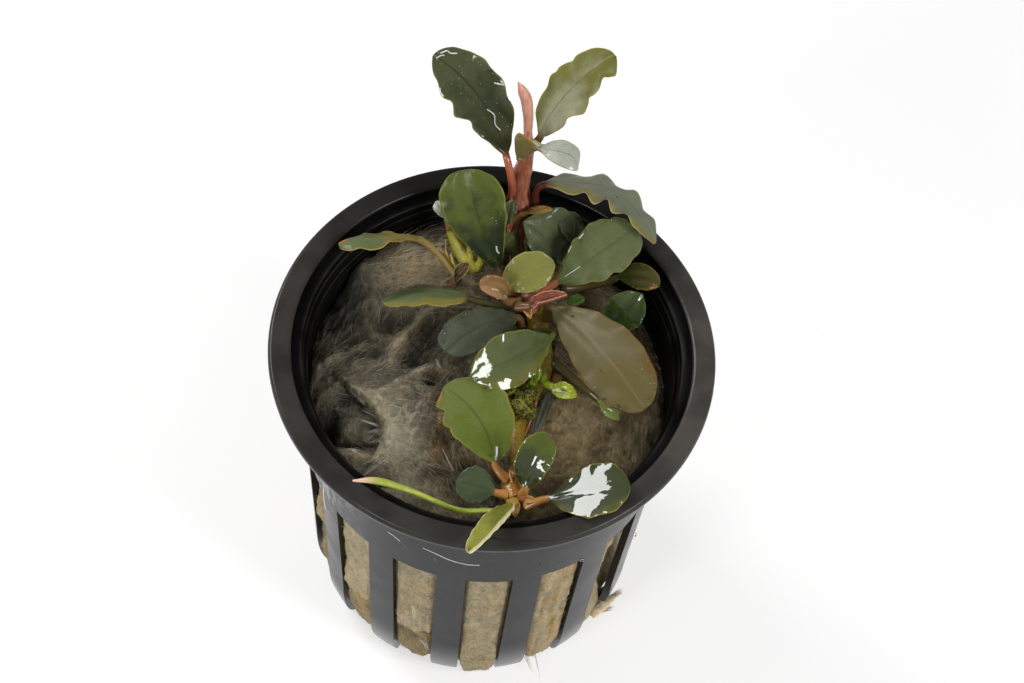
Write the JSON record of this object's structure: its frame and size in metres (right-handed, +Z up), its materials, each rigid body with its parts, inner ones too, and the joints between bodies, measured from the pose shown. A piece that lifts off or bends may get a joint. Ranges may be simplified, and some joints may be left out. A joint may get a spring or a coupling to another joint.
{
  "type": "potted bucephalandra plant",
  "caption": "Small creeping water plant with wavy dark green leaves, bedded in rock wool in a slotted black net pot.",
  "frame": {"origin": "centre of the pot's flat base", "axes": "+Z up along the pot's axis, -Y towards the front of the plant, +X to its right"},
  "size_m": [0.055, 0.0619, 0.0722],
  "materials": {
    "pot_plastic": "satin moulded black plastic, wet in places",
    "wool": "matted wet mineral fibre, grey to tan",
    "rhizome": "soft brown stem",
    "stem": "smooth pink-brown stem",
    "dark_leaf": "wet glossy dark green leaf",
    "olive_leaf": "satin olive-brown underside of a leaf",
    "grey_leaf": "satin grey-green leaf",
    "green_leaf": "wet bright green leaf",
    "lime_leaf": "young lime green tissue",
    "dead_leaf": "dry tan to brown sheath",
    "moss": "wet yellow-green moss"
  },
  "bodies": {
    "root": {"pot": "pot_plastic", "rock_wool": "wool", "rhizome": "rhizome", "front_shoot": "rhizome", "middle_shoot": "stem", "back_shoot": "stem", "left_shoot": "lime_leaf", "back_leaf_dark": "dark_leaf", "back_leaf_olive": "olive_leaf", "back_leaf_folded": "grey_leaf", "back_leaf_over_rim": "grey_leaf", "back_leaf_rolled": "stem", "back_bract_arched": "dead_leaf", "leaf_round": "green_leaf", "leaf_dark_olive": "dark_leaf", "leaf_grey_behind": "grey_leaf", "leaf_large_grey": "grey_leaf", "leaf_olive_right": "olive_leaf", "leaf_small_glossy": "dark_leaf", "leaf_yellow": "green_leaf", "leaf_tan_young": "dead_leaf", "leaf_narrow_left": "grey_leaf", "leaf_slate": "dark_leaf", "leaf_white_gloss": "dark_leaf", "leaf_large_olive": "olive_leaf", "leaf_pink_sheath": "stem", "leaf_dark_centre": "dark_leaf", "leaf_dark_behind": "dark_leaf", "leaf_small_centre": "dark_leaf", "leaf_lime_small": "lime_leaf", "leaf_green_sprout": "lime_leaf", "leaf_on_wool": "dark_leaf", "leaf_green_tip": "green_leaf", "leaf_green_bit": "green_leaf", "leaf_bright_front": "green_leaf", "leaf_upright_front": "dark_leaf", "leaf_round_dark": "dark_leaf", "leaf_gloss_front": "dark_leaf", "leaf_over_front_rim": "green_leaf", "leaf_lime_stalk": "lime_leaf", "leaf_pale_left": "grey_leaf", "leaf_left_back": "grey_leaf", "bract_dead_left": "dead_leaf", "moss_tuft": "moss"}
  },
  "joints": []
}
